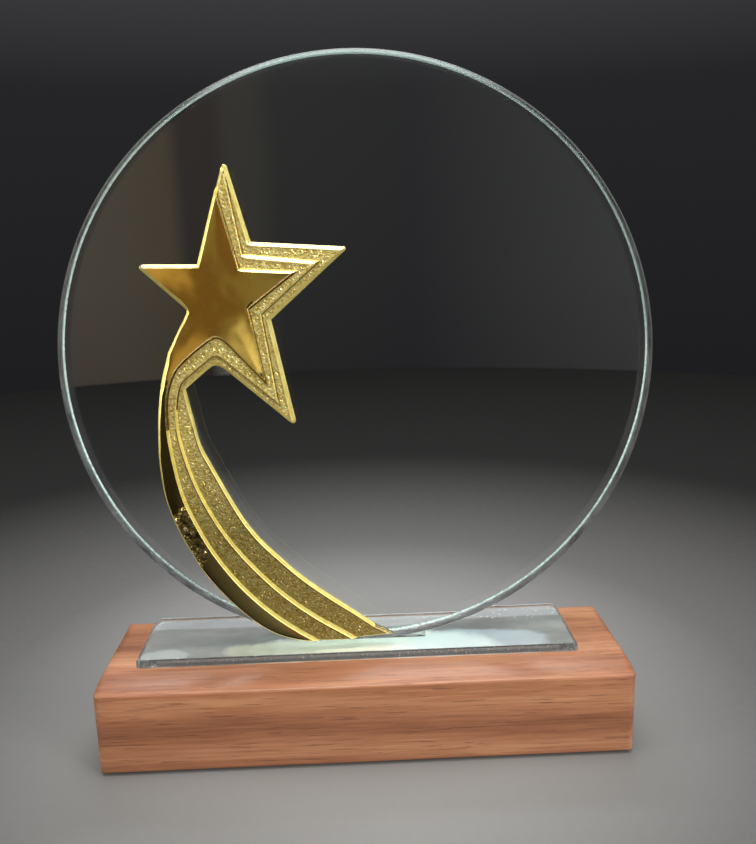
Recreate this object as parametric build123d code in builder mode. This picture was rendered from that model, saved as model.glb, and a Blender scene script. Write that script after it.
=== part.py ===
"""Star trophy: a clear glass disc standing on a small glass foot plate, the
plate bonded to a hardwood block, and a gold-plated star-and-tail casting
taped to the front face of the disc.

Frame: millimetres, +Z up. X runs along the block, the front of the trophy
faces -Y. The origin is on the resting plane, under the disc's centre in X and
under the block's centre in Y.
"""
import os
from build123d import *

# ----------------------------------------------------------------- dimensions
# self-adhesive pads under the block
pad_dia = 12.0
pad_h = 1.0
pad_inset_x = 14.0
pad_inset_y = 11.0

# hardwood block
base_w = 184.0          # X
base_d = 51.5           # Y
base_h = 30.5           # Z
base_x = -0.7           # the disc does not stand exactly mid-block
bevel_run = 9.4         # shallow hand-planed bevel along the front top edge
bevel_drop = 1.5
corner_r = 2.2          # eased vertical corners
edge_r = 0.9            # eased long edges

# silver adhesive film between block and foot plate
film_t = 0.3
film_inset = 0.35

# glass foot plate
plate_w = 156.0
plate_d = 33.5
plate_t = 3.0
plate_x = -3.2
plate_y = 5.9
plate_clip = 4.6        # clipped back left corner
plate_round = 2.6       # rounded back right corner
plate_arris = 0.35

# glass disc
disc_r = 100.0
disc_t = 10.0
disc_front = -2.4       # Y of the front face
disc_arris = 0.7        # ground bevel round both faces
bond_gap = 0.3          # glue line under the lowest point of the rim

# clear glue bead in the wedge between rim and foot plate
bead_half = 21.0
bead_side = 0.9         # how far the bead stops short of each disc face

# tape between disc and casting
tape_t = 0.4

# gold-plated casting: three stepped levels, measured from its flat back
level_1 = 2.4           # lower textured step
level_2 = 3.8           # upper textured step
level_3 = 5.2           # polished star and polished tail band
rim_inset = 0.9         # bright bevelled rim along the polished left edges

# ------------------------------------------------------------- derived levels
z_base = pad_h
z_film = z_base + base_h
z_plate = z_film + film_t
z_top = z_plate + plate_t                # upper face of the foot plate
z_disc = z_top + bond_gap + disc_r       # centre of the disc
y_back = disc_front - tape_t             # flat back of the casting

# ------------------------------------------- casting outlines (X, Z) in mm
# Z here is counted from the disc's centre.
star_top = (-41.0, 65.7)
star_left = (-69.3, 34.7)
star_top_left = (-51.2, 34.2)
star_waist = (-55.8, 20.8)
tail_left = [(-58.5, 15.9), (-61.7, 9.6), (-65.1, 0.4), (-67.2, -9.6),
             (-68.2, -22.6), (-68.0, -34.8), (-66.4, -45.6), (-62.4, -57.0),
             (-56.0, -69.6), (-47.3, -81.0), (-38.9, -89.2), (-31.7, -94.0),
             (-24.0, -96.6), (-16.0, -97.6)]
tail_foot = [(-10.0, -97.9), (-3.6, -97.7)]
tail_tip = (9.4, -96.9)
tail_right = [(3.0, -93.4), (-5.4, -87.0), (-13.8, -80.8), (-22.2, -74.0),
              (-29.5, -66.6), (-36.4, -59.0), (-44.4, -46.2), (-51.5, -32.8),
              (-55.6, -21.6), (-57.4, -13.2)]
crotch = (-58.4, -5.6)
notch_low = (-47.7, 1.8)
arm_low = (-22.5, -18.6)
notch_right = (-28.8, 16.2)
arm_right = (-3.5, 39.2)
notch_top = (-33.7, 41.4)

# upper textured step: its own star edges, then its ridge down the tail
l2_top = (-41.3, 60.4)
l2_notch_top = (-36.4, 37.4)
l2_arm_right = (-12.2, 35.0)
l2_notch_right = (-31.7, 18.0)
l2_arm_low = (-27.4, -11.1)
l2_notch_low = (-46.2, 5.3)
l2_crotch = (-58.6, -3.4)
ridge_2 = [(-60.6, -7.4), (-61.6, -16.0), (-60.6, -22.8), (-59.3, -33.3),
           (-56.8, -40.4), (-50.3, -53.2), (-38.7, -69.1), (-30.7, -78.0),
           (-22.5, -85.3), (-14.2, -91.6)]
ridge_2_end = (-4.6, -97.0)

# polished level: star edges, then its ridge down the tail
l3_top = (-43.9, 55.8)
l3_notch_top = (-38.2, 32.7)
l3_arm_right = (-19.3, 32.0)
l3_notch_right = (-34.7, 20.5)
l3_arm_low = (-30.8, -3.0)
l3_notch_low = (-45.1, 12.6)
l3_crotch = (-58.6, 3.0)
ridge_1 = [(-62.4, -2.2), (-64.0, -9.0), (-64.9, -17.4), (-64.2, -22.3),
           (-63.1, -34.8), (-60.5, -44.4), (-55.3, -56.8), (-47.1, -70.4),
           (-39.2, -79.4), (-31.1, -88.0), (-25.0, -92.9)]
ridge_1_end = (-18.6, -96.6)

# the same left edge, moved in by the width of the bright rim
rim_top = (-42.0, 60.4)
rim_left = (-66.4, 33.8)
rim_top_left = (-50.5, 33.3)
rim_waist = (-54.8, 20.9)
rim_tail = [(-57.6, 15.6), (-60.8, 9.3), (-64.2, 0.2), (-66.3, -9.7),
            (-67.3, -22.6), (-67.1, -34.7), (-65.5, -45.4), (-61.6, -56.6),
            (-55.3, -69.1), (-46.7, -80.3), (-38.4, -88.4), (-31.3, -93.1),
            (-23.8, -95.8)]

os.makedirs("parts", exist_ok=True)


def up(points):
    """Casting points are kept from the disc's centre; lift them to the frame."""
    return [(x, z + z_disc) for x, z in points]


# ------------------------------------------------------------------ foot pads
pad_names = ["foot_pad_front_left", "foot_pad_front_right",
             "foot_pad_back_left", "foot_pad_back_right"]
pad_spots = [(sx * (base_w / 2 - pad_inset_x) + base_x,
              sy * (base_d / 2 - pad_inset_y))
             for sy in (-1, 1) for sx in (-1, 1)]
for pad_name, spot in zip(pad_names, pad_spots):
    with BuildPart() as foot_pad:
        with BuildSketch(Plane.XY):
            with Locations(spot):
                Circle(pad_dia / 2)
        extrude(amount=pad_h)
        chamfer(foot_pad.edges().group_by(Axis.Z)[0], length=0.25)
    foot_pad.part.label = pad_name
    export_step(foot_pad.part, f"parts/{pad_name}.step")

# ------------------------------------------------------------- hardwood block
with BuildPart() as wood_base:
    # end profile of the block, drawn in Y and Z, run along X
    with BuildSketch(Plane.YZ.offset(base_x - base_w / 2)):
        with BuildLine():
            Polyline((-base_d / 2, z_base), (base_d / 2, z_base),
                     (base_d / 2, z_film),
                     (-base_d / 2 + bevel_run, z_film),
                     (-base_d / 2, z_film - bevel_drop), close=True)
        make_face()
    extrude(amount=base_w)
    fillet(wood_base.edges().filter_by(Axis.Z), radius=corner_r)
    fillet(wood_base.faces().sort_by(Axis.Z)[0].edges(), radius=edge_r)
wood_base.part.label = "wood_base"
export_step(wood_base.part, "parts/wood_base.step")


# ------------------------------------------------- film and glass foot plate
def plate_outline(w, d, clip, rnd):
    """Foot plate seen from above: clipped back left, rounded back right."""
    with BuildSketch(Plane.XY, mode=Mode.PRIVATE) as outline:
        with Locations((plate_x, plate_y)):
            Rectangle(w, d)
        back = outline.vertices().group_by(Axis.Y)[-1].sort_by(Axis.X)
        chamfer(back[0], length=clip, length2=clip * 0.35)
        back_right = outline.vertices().group_by(Axis.Y)[-1].sort_by(Axis.X)[-1]
        fillet(back_right, radius=rnd)
    return outline.sketch


with BuildPart() as plate_backing_film:
    with BuildSketch(Plane.XY.offset(z_film)):
        add(plate_outline(plate_w - 2 * film_inset, plate_d - 2 * film_inset,
                          plate_clip, plate_round))
    extrude(amount=film_t)
plate_backing_film.part.label = "plate_backing_film"
export_step(plate_backing_film.part, "parts/plate_backing_film.step")

with BuildPart() as glass_foot_plate:
    with BuildSketch(Plane.XY.offset(z_plate)):
        add(plate_outline(plate_w, plate_d, plate_clip, plate_round))
    extrude(amount=plate_t)
    chamfer(glass_foot_plate.edges().group_by(Axis.Z)[-1], length=plate_arris)
    chamfer(glass_foot_plate.edges().group_by(Axis.Z)[0], length=plate_arris)
glass_foot_plate.part.label = "glass_foot_plate"
export_step(glass_foot_plate.part, "parts/glass_foot_plate.step")

# ----------------------------------------------------------------- glass disc
# Plane.XZ looks from the front, its normal runs toward -Y
with BuildPart() as glass_disc:
    with BuildSketch(Plane.XZ.offset(-(disc_front + disc_t))):
        with Locations((0, z_disc)):
            Circle(disc_r)
    extrude(amount=disc_t)
    chamfer(glass_disc.edges().filter_by(GeomType.CIRCLE), length=disc_arris)
glass_disc.part.label = "glass_disc"
export_step(glass_disc.part, "parts/glass_disc.step")

# ----------------------------------------------------------------- glue bead
# fills the wedge under the rim; its ends are drawn in like a meniscus
bead_rise = z_disc - (disc_r ** 2 - bead_half ** 2) ** 0.5 - z_top
bead_foot = bead_half + 1.6
with BuildPart() as disc_bond_bead:
    with BuildSketch(Plane.XZ.offset(-(disc_front + disc_t - bead_side))):
        with BuildLine():
            Polyline((-bead_foot, z_top), (bead_foot, z_top),
                     (bead_half + 0.5, z_top + bead_rise * 0.3),
                     (bead_half, z_top + bead_rise * 0.65),
                     (bead_half, z_top + bead_rise),
                     (-bead_half, z_top + bead_rise),
                     (-bead_half, z_top + bead_rise * 0.65),
                     (-bead_half - 0.5, z_top + bead_rise * 0.3), close=True)
        make_face()
        with Locations((0, z_disc)):
            Circle(disc_r, mode=Mode.SUBTRACT)
    extrude(amount=disc_t - 2 * bead_side)
    add(glass_disc.part, mode=Mode.SUBTRACT)
disc_bond_bead.part.label = "disc_bond_bead"
export_step(disc_bond_bead.part, "parts/disc_bond_bead.step")

# --------------------------------------------------------------- star casting
with BuildPart() as star_ornament:
    # lowest step: the full outline of star and tail
    with BuildSketch(Plane.XZ.offset(-y_back)):
        with BuildLine():
            Polyline(*up([crotch, notch_low, arm_low, notch_right, arm_right,
                          notch_top, star_top, star_top_left, star_left,
                          star_waist]))
            Spline(*up([star_waist] + tail_left + tail_foot[:1]))
            Polyline(*up([tail_foot[0], tail_foot[1], tail_tip]))
            Spline(*up([tail_tip] + tail_right + [crotch]))
        make_face()
    extrude(amount=level_1)
    # upper textured step
    with BuildSketch(Plane.XZ.offset(-y_back + level_1)):
        with BuildLine():
            Polyline(*up([l2_crotch, l2_notch_low, l2_arm_low, l2_notch_right,
                          l2_arm_right, l2_notch_top, l2_top, rim_top,
                          rim_top_left, rim_left, rim_waist]))
            Spline(*up([rim_waist] + rim_tail + [(-16.0, -97.0)]))
            Polyline(*up([(-16.0, -97.0), (-10.0, -97.3), ridge_2_end]))
            Spline(*up([ridge_2_end] + ridge_2[::-1] + [l2_crotch]))
        make_face()
    extrude(amount=level_2 - level_1)
    # polished star and tail band
    with BuildSketch(Plane.XZ.offset(-y_back + level_2)):
        with BuildLine():
            Polyline(*up([l3_crotch, l3_notch_low, l3_arm_low, l3_notch_right,
                          l3_arm_right, l3_notch_top, l3_top,
                          rim_top_left, rim_left, rim_waist]))
            Spline(*up([rim_waist] + rim_tail + [ridge_1_end]))
            Spline(*up([ridge_1_end] + ridge_1[::-1] + [l3_crotch]))
        make_face()
    extrude(amount=level_3 - level_2)
star_ornament.part.label = "star_ornament"
export_step(star_ornament.part, "parts/star_ornament.step")

# ------------------------------------------------- tape behind the casting
with BuildPart() as star_tape_pad:
    with BuildSketch(Plane.XZ.offset(-disc_front)):
        with BuildLine():
            Polyline(*up([(-55.0, 1.4), (-46.2, 6.0), (-33.5, -4.5),
                          (-34.6, 19.2), (-20.0, 33.2), (-38.0, 35.6),
                          (-42.6, 52.0), (-49.0, 31.6), (-60.0, 31.6),
                          (-53.2, 20.6)]), close=True)
        make_face()
    extrude(amount=tape_t)
star_tape_pad.part.label = "star_tape_pad"
export_step(star_tape_pad.part, "parts/star_tape_pad.step")

with BuildPart() as tail_tape_pad:
    with BuildSketch(Plane.XZ.offset(-disc_front)):
        with BuildLine():
            outer_edge = Spline(*up([(-66.2, -16.0), (-66.6, -30.0),
                                     (-64.6, -44.6), (-58.2, -62.0),
                                     (-48.6, -76.6), (-37.0, -87.6),
                                     (-25.0, -93.6)]))
            Line(outer_edge @ 1, up([(-17.5, -80.6)])[0])
            inner_edge = Spline(*up([(-17.5, -80.6), (-29.4, -69.6),
                                     (-40.0, -55.6), (-49.6, -39.6),
                                     (-56.0, -26.0), (-58.4, -16.0)]))
            Line(inner_edge @ 1, outer_edge @ 0)
        make_face()
    extrude(amount=tape_t)
tail_tape_pad.part.label = "tail_tape_pad"
export_step(tail_tape_pad.part, "parts/tail_tape_pad.step")
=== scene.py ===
"""Looks of the star trophy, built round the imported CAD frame. Metres, +Z up, the front faces -Y."""

import math

import bmesh
import bpy
import numpy as np
from mathutils import Matrix, Vector, noise
from mathutils.geometry import delaunay_2d_cdt


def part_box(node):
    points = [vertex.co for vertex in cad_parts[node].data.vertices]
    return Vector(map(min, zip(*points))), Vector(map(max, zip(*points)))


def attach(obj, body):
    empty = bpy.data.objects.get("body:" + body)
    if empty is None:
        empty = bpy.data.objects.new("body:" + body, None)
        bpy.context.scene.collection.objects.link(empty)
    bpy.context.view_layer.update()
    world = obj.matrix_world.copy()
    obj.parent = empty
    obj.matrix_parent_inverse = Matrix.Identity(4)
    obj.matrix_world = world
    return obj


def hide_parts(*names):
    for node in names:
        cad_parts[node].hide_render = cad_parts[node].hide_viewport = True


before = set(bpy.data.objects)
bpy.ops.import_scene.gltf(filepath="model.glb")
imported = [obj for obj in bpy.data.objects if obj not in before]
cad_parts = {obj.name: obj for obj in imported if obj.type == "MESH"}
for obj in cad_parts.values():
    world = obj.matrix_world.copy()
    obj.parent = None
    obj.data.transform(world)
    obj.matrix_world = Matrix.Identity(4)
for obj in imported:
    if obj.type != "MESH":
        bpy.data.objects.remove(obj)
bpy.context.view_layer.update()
scene = bpy.context.scene
MM = 0.001
rng = np.random.default_rng(7)


# --------------------------------------------------------------------------- helpers
def link(obj):
    scene.collection.objects.link(obj)
    return obj


def mesh_object(name, verts, faces, mats=(), face_mats=None, smooth=True):
    me = bpy.data.meshes.new(name)
    me.from_pydata([tuple(v) for v in verts], [], [tuple(f) for f in faces])
    for m in mats:
        me.materials.append(m)
    if face_mats is not None:
        me.polygons.foreach_set("material_index", np.asarray(face_mats, dtype=np.int32))
    me.polygons.foreach_set("use_smooth", np.full(len(me.polygons), bool(smooth)))
    me.update()
    return link(bpy.data.objects.new(name, me))


def sharpen(obj, angle_deg, seam_deg=None):
    """Edges steeper than the angle shade as sharp; between two materials a smaller angle is enough."""
    me = obj.data
    bm = bmesh.new()
    bm.from_mesh(me)
    lim = math.radians(angle_deg)
    for e in bm.edges:
        if len(e.link_faces) == 2:
            seam = seam_deg is not None and e.link_faces[0].material_index != e.link_faces[1].material_index
            e.smooth = e.calc_face_angle(0.0) < (math.radians(seam_deg) if seam else lim)
    bm.to_mesh(me)
    bm.free()


def curve_through(points, per=10):
    """Smooth line through points, centripetal Catmull-Rom."""
    p = [np.array(q, float) for q in points]
    p = [2 * p[0] - p[1]] + p + [2 * p[-1] - p[-2]]
    out = []
    for i in range(1, len(p) - 2):
        p0, p1, p2, p3 = p[i - 1], p[i], p[i + 1], p[i + 2]
        t0 = 0.0
        t1 = t0 + np.linalg.norm(p1 - p0) ** 0.5
        t2 = t1 + np.linalg.norm(p2 - p1) ** 0.5
        t3 = t2 + np.linalg.norm(p3 - p2) ** 0.5
        for k in range(per):
            t = t1 + (t2 - t1) * k / per
            a1 = (t1 - t) / (t1 - t0) * p0 + (t - t0) / (t1 - t0) * p1
            a2 = (t2 - t) / (t2 - t1) * p1 + (t - t1) / (t2 - t1) * p2
            a3 = (t3 - t) / (t3 - t2) * p2 + (t - t2) / (t3 - t2) * p3
            b1 = (t2 - t) / (t2 - t0) * a1 + (t - t0) / (t2 - t0) * a2
            b2 = (t3 - t) / (t3 - t1) * a2 + (t - t1) / (t3 - t1) * a3
            out.append((t2 - t) / (t2 - t1) * b1 + (t - t1) / (t2 - t1) * b2)
    out.append(p[-2])
    return [tuple(q) for q in out]


def area2(loop):
    a = np.asarray(loop)
    b = np.roll(a, -1, axis=0)
    return float((a[:, 0] * b[:, 1] - b[:, 0] * a[:, 1]).sum())


def offset_loop(loop, d, limit=6.0):
    """Closed loop moved inward by d with mitred corners."""
    p = np.asarray(loop, float)
    if area2(p) < 0:
        p = p[::-1]
    e = np.roll(p, -1, axis=0) - p
    keep = np.linalg.norm(e, axis=1) > 1e-6
    p = p[keep]
    e = np.roll(p, -1, axis=0) - p
    e /= np.linalg.norm(e, axis=1)[:, None]
    n = np.stack([-e[:, 1], e[:, 0]], 1)
    m = n + np.roll(n, 1, axis=0)
    ln = (m * m).sum(1)
    m = m * (2.0 / np.maximum(ln, 0.02))[:, None]
    size = np.linalg.norm(m, axis=1)
    m = m * np.minimum(1.0, limit / size)[:, None]
    return p + m * d


def inside_many(pts, loop):
    p = np.asarray(pts, float)
    a = np.asarray(loop, float)
    b = np.roll(a, -1, axis=0)
    res = np.zeros(len(p), bool)
    for (x1, y1), (x2, y2) in zip(a, b):
        if y1 == y2:
            continue
        hit = ((y1 > p[:, 1]) != (y2 > p[:, 1])) & (
            p[:, 0] < (x2 - x1) * (p[:, 1] - y1) / (y2 - y1) + x1
        )
        res ^= hit
    return res


def dist_many(pts, loop):
    p = np.asarray(pts, float)
    a = np.asarray(loop, float)
    b = np.roll(a, -1, axis=0)
    best = np.full(len(p), 1e9)
    for s, t in zip(a, b):
        d = t - s
        L = float(d @ d)
        if L < 1e-12:
            continue
        u = np.clip(((p - s) @ d) / L, 0, 1)
        q = p - (s + u[:, None] * d)
        best = np.minimum(best, (q * q).sum(1))
    return np.sqrt(best)


def longest_chain(border):
    """Longest closed chain of directed edges; every edge is used once, so it always ends."""
    nxt = {}
    for a, b in border:
        nxt.setdefault(a, []).append(b)
    best = []
    while nxt:
        start = next(iter(nxt))
        chain, here = [start], start
        while here in nxt:
            step = nxt[here].pop()
            if not nxt[here]:
                del nxt[here]
            if step == start:
                break
            chain.append(step)
            here = step
        if len(chain) > len(best):
            best = chain
    return best


def signed(pts, loop):
    d = dist_many(pts, loop)
    return np.where(inside_many(pts, loop), d, -d)


# --------------------------------------------------------------------------- materials
def new_material(name):
    m = bpy.data.materials.new(name)
    m.use_nodes = True
    nt = m.node_tree
    bsdf = next(n for n in nt.nodes if n.type == "BSDF_PRINCIPLED")
    out = next(n for n in nt.nodes if n.type == "OUTPUT_MATERIAL")
    return m, nt, bsdf, out


def node(nt, kind, **props):
    n = nt.nodes.new(kind)
    for k, v in props.items():
        setattr(n, k, v)
    return n


def coords(nt, scale=(1, 1, 1), loc=(0, 0, 0), rot=(0, 0, 0)):
    tc = node(nt, "ShaderNodeTexCoord")
    mp = node(nt, "ShaderNodeMapping")
    mp.inputs["Scale"].default_value = scale
    mp.inputs["Location"].default_value = loc
    mp.inputs["Rotation"].default_value = rot
    nt.links.new(tc.outputs["Object"], mp.inputs["Vector"])
    return mp.outputs["Vector"]


def noise_tex(nt, vec, scale, detail=4.0, rough=0.55, dist=0.0):
    n = node(nt, "ShaderNodeTexNoise")
    n.inputs["Scale"].default_value = scale
    n.inputs["Detail"].default_value = detail
    n.inputs["Roughness"].default_value = rough
    n.inputs["Distortion"].default_value = dist
    nt.links.new(vec, n.inputs["Vector"])
    return n.outputs["Fac"]


def ramp(nt, fac, stops, interp="LINEAR"):
    r = node(nt, "ShaderNodeValToRGB")
    r.color_ramp.interpolation = interp
    el = r.color_ramp.elements
    while len(el) < len(stops):
        el.new(0.5)
    for e, (pos, col) in zip(el, stops):
        e.position = pos
        e.color = tuple(col) + (1.0,) if len(col) == 3 else col
    nt.links.new(fac, r.inputs["Fac"])
    return r.outputs["Color"]


def mapped(nt, value, a, b, lo=0.0, hi=1.0):
    m = node(nt, "ShaderNodeMapRange")
    m.inputs["From Min"].default_value = lo
    m.inputs["From Max"].default_value = hi
    m.inputs["To Min"].default_value = a
    m.inputs["To Max"].default_value = b
    nt.links.new(value, m.inputs["Value"])
    return m.outputs["Result"]


def math_node(nt, op, a, b=None):
    m = node(nt, "ShaderNodeMath", operation=op)
    for i, v in enumerate((a, b)):
        if v is None:
            continue
        if isinstance(v, (int, float)):
            m.inputs[i].default_value = v
        else:
            nt.links.new(v, m.inputs[i])
    return m.outputs[0]


def mix_color(nt, fac, a, b, blend="MIX"):
    m = node(nt, "ShaderNodeMix", data_type="RGBA", blend_type=blend)
    f, ca, cb = m.inputs[0], m.inputs[6], m.inputs[7]
    for sock, v in ((f, fac), (ca, a), (cb, b)):
        if isinstance(v, (int, float)):
            sock.default_value = v
        elif isinstance(v, tuple):
            sock.default_value = v if len(v) == 4 else v + (1.0,)
        else:
            nt.links.new(v, sock)
    return m.outputs[2]


def bump(nt, bsdf, height, strength, distance, normal=None):
    b = node(nt, "ShaderNodeBump")
    b.inputs["Strength"].default_value = strength
    b.inputs["Distance"].default_value = distance
    nt.links.new(height, b.inputs["Height"])
    if normal is not None:
        nt.links.new(normal, b.inputs["Normal"])
    if bsdf is not None:
        nt.links.new(b.outputs["Normal"], bsdf.inputs["Normal"])
    return b.outputs["Normal"]


def wood_material():
    """Reddish open-pored hardwood, grain along X, satin lacquer."""
    m, nt, s, _ = new_material("hardwood_lacquered")
    # growth layers: distance from a far pith, bent by slow noise
    warp = noise_tex(nt, coords(nt, (2.2, 26, 26)), 1.0, 3.0, 0.5)
    sep = node(nt, "ShaderNodeSeparateXYZ")
    nt.links.new(coords(nt, (1, 1, 1)), sep.inputs[0])
    y = math_node(nt, "ADD", sep.outputs["Y"], 0.085)
    z = math_node(nt, "ADD", sep.outputs["Z"], 0.150)
    rad = math_node(nt, "SQRT", math_node(nt, "ADD", math_node(nt, "MULTIPLY", y, y), math_node(nt, "MULTIPLY", z, z)))
    rad = math_node(nt, "ADD", math_node(nt, "MULTIPLY", rad, 430.0), math_node(nt, "MULTIPLY", warp, 9.0))
    rings = math_node(nt, "ADD", math_node(nt, "MULTIPLY", math_node(nt, "SINE", rad), 0.5), 0.5)
    fibre = noise_tex(nt, coords(nt, (34, 900, 900)), 1.0, 5.0, 0.66)
    broad = noise_tex(nt, coords(nt, (5.5, 70, 70), (3.1, 0.4, 1.7)), 1.0, 4.0, 0.55)
    tone = math_node(nt, "ADD", math_node(nt, "MULTIPLY", rings, 0.16), math_node(nt, "ADD", math_node(nt, "MULTIPLY", fibre, 0.42), math_node(nt, "MULTIPLY", broad, 0.42)))
    col = ramp(nt, tone, [(0.30, (0.180, 0.060, 0.026)), (0.43, (0.300, 0.113, 0.052)), (0.54, (0.405, 0.166, 0.079)), (0.68, (0.545, 0.262, 0.136))])
    # open pores: short dark dashes along the grain
    pores = noise_tex(nt, coords(nt, (85, 1500, 1500), (0.3, 0.9, 0.2)), 1.0, 2.0, 0.5)
    pore_mask = mapped(nt, pores, 1.0, 0.0, 0.335, 0.40)
    col = mix_color(nt, math_node(nt, "MULTIPLY", pore_mask, 0.50), col, (0.135, 0.046, 0.024))
    # a few broader dark streaks
    streak = noise_tex(nt, coords(nt, (9, 210, 210), (1.3, 5.9, 7.2)), 1.0, 3.0, 0.5)
    streak_mask = mapped(nt, streak, 0.0, 0.45, 0.58, 0.76)
    col = mix_color(nt, streak_mask, col, (0.20, 0.070, 0.034))
    nt.links.new(col, s.inputs["Base Color"])
    rough = math_node(nt, "ADD", mapped(nt, fibre, 0.34, 0.50, 0.3, 0.7), math_node(nt, "MULTIPLY", pore_mask, 0.15))
    nt.links.new(rough, s.inputs["Roughness"])
    s.inputs["Coat Weight"].default_value = 0.28
    s.inputs["Coat Roughness"].default_value = 0.22
    n1 = bump(nt, None, fibre, 0.22, 0.0003)
    bump(nt, s, math_node(nt, "SUBTRACT", 1.0, pore_mask), 0.35, 0.00022, n1)
    return m


def gold_polished():
    """Mirror gold plate over hand polishing; down the tail the colour is painted darker, a painted dark reflection, and
    a pitted patch there carries painted glints.
    """
    m, nt, s, _ = new_material("gold_polished")
    swirl = noise_tex(nt, coords(nt, (1, 1, 1)), 46.0, 2.0, 0.4)
    fine = noise_tex(nt, coords(nt, (1, 1, 1)), 900.0, 3.0, 0.6)
    col = ramp(nt, swirl, [(0.3, (0.88, 0.61, 0.155)), (0.7, (0.93, 0.67, 0.19))])
    sep = node(nt, "ShaderNodeSeparateXYZ")
    nt.links.new(coords(nt), sep.inputs[0])
    soft = noise_tex(nt, coords(nt, (1, 1, 1)), 60.0, 3.0, 0.5)
    # painted reflection: lower down, towards the tail, the colour is painted darker in place of dark surroundings seen
    # in the mirror
    low = mapped(nt, math_node(nt, "ADD", sep.outputs["Z"], math_node(nt, "MULTIPLY", soft, 0.012)), 0.0, 0.88, 0.116, 0.088)
    col = mix_color(nt, low, col, (0.31, 0.245, 0.090))
    pit = noise_tex(nt, coords(nt), 560.0, 3.0, 0.62)
    zone = around(nt, (-0.0595, 0.0, 0.0775), (0.0065, None, 0.0110), 2.6, 170.0)
    pits = math_node(nt, "MULTIPLY", mapped(nt, pit, 1.0, 0.0, 0.40, 0.50), zone)
    col = mix_color(nt, math_node(nt, "MULTIPLY", pits, 0.9), col, (0.05, 0.035, 0.012))
    # painted highlight: bright glints painted into the pitted patch
    painted_glint = math_node(nt, "MULTIPLY", mapped(nt, pit, 0.0, 1.0, 0.595, 0.64), zone)
    col = mix_color(nt, painted_glint, col, (1.0, 0.88, 0.50))
    nt.links.new(col, s.inputs["Base Color"])
    s.inputs["Metallic"].default_value = 1.0
    nt.links.new(math_node(nt, "ADD", mapped(nt, fine, 0.050, 0.078, 0.3, 0.7), math_node(nt, "MULTIPLY", painted_glint, 0.3)), s.inputs["Roughness"])
    n1 = bump(nt, None, swirl, 0.10, 0.0012)
    bump(nt, s, math_node(nt, "MULTIPLY", pit, zone), 0.8, 0.0008, n1)
    return m


def gold_stipple():
    """Glitter finish of the steps: tiny cut facets are in the mesh, this adds grain within them."""
    m, nt, s, _ = new_material("gold_stipple")
    v = node(nt, "ShaderNodeTexVoronoi", feature="F1")
    v.inputs["Scale"].default_value = 2100.0
    nt.links.new(coords(nt), v.inputs["Vector"])
    blotch = noise_tex(nt, coords(nt), 1300.0, 2.0, 0.5)
    col = ramp(nt, blotch, [(0.34, (0.54, 0.41, 0.105)), (0.50, (0.98, 0.78, 0.25)), (0.66, (1.0, 0.95, 0.45))])
    sep = node(nt, "ShaderNodeSeparateXYZ")
    nt.links.new(coords(nt), sep.inputs[0])
    # painted reflection: the lower stippling is painted darker in place of dark surroundings it would mirror
    low = mapped(nt, sep.outputs["Z"], 0.0, 1.0, 0.115, 0.078)
    col = mix_color(nt, low, col, (0.43, 0.41, 0.35), "MULTIPLY")
    nt.links.new(col, s.inputs["Base Color"])
    s.inputs["Metallic"].default_value = 0.66
    nt.links.new(mapped(nt, blotch, 0.42, 0.26, 0.3, 0.7), s.inputs["Roughness"])
    bump(nt, s, v.outputs["Distance"], 0.35, 0.00025)
    return m


def gold_painted_shade():
    """Painted shade: dark gold on the feet of step walls that face down or sideways and on the thin margins along the
    tail's walls.
    """
    m, nt, s, _ = new_material("gold_painted_shade")
    n = noise_tex(nt, coords(nt), 700.0, 3.0, 0.6)
    col = ramp(nt, n, [(0.3, (0.085, 0.050, 0.012)), (0.7, (0.19, 0.125, 0.035))])
    nt.links.new(col, s.inputs["Base Color"])
    s.inputs["Metallic"].default_value = 1.0
    nt.links.new(mapped(nt, n, 0.30, 0.45, 0.3, 0.7), s.inputs["Roughness"])
    bump(nt, s, n, 0.2, 0.0002)
    return m


def gold_edge():
    """Smooth satin gold of the sloped walls."""
    m, nt, s, _ = new_material("gold_edge")
    n = noise_tex(nt, coords(nt), 420.0, 3.0, 0.5)
    col = ramp(nt, n, [(0.3, (0.88, 0.68, 0.24)), (0.7, (0.96, 0.79, 0.36))])
    nt.links.new(col, s.inputs["Base Color"])
    s.inputs["Metallic"].default_value = 1.0
    nt.links.new(mapped(nt, n, 0.16, 0.28, 0.3, 0.7), s.inputs["Roughness"])
    bump(nt, s, n, 0.12, 0.0002)
    return m


def gold_ridge():
    """Burnished yellow of the narrow ridges and the outer rim."""
    m, nt, s, _ = new_material("gold_ridge")
    n = noise_tex(nt, coords(nt), 380.0, 3.0, 0.5)
    col = ramp(nt, n, [(0.3, (0.80, 0.65, 0.165)), (0.7, (0.91, 0.79, 0.27))])
    nt.links.new(col, s.inputs["Base Color"])
    s.inputs["Metallic"].default_value = 0.55
    nt.links.new(mapped(nt, n, 0.30, 0.42, 0.3, 0.7), s.inputs["Roughness"])
    bump(nt, s, n, 0.10, 0.0002)
    return m


def gold_back():
    m, nt, s, _ = new_material("gold_cast_back")
    n = noise_tex(nt, coords(nt), 240.0, 5.0, 0.6)
    col = ramp(nt, n, [(0.3, (0.50, 0.36, 0.13)), (0.7, (0.72, 0.54, 0.24))])
    nt.links.new(col, s.inputs["Base Color"])
    s.inputs["Metallic"].default_value = 1.0
    nt.links.new(mapped(nt, n, 0.38, 0.55, 0.3, 0.7), s.inputs["Roughness"])
    bump(nt, s, n, 0.3, 0.0003)
    return m


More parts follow.
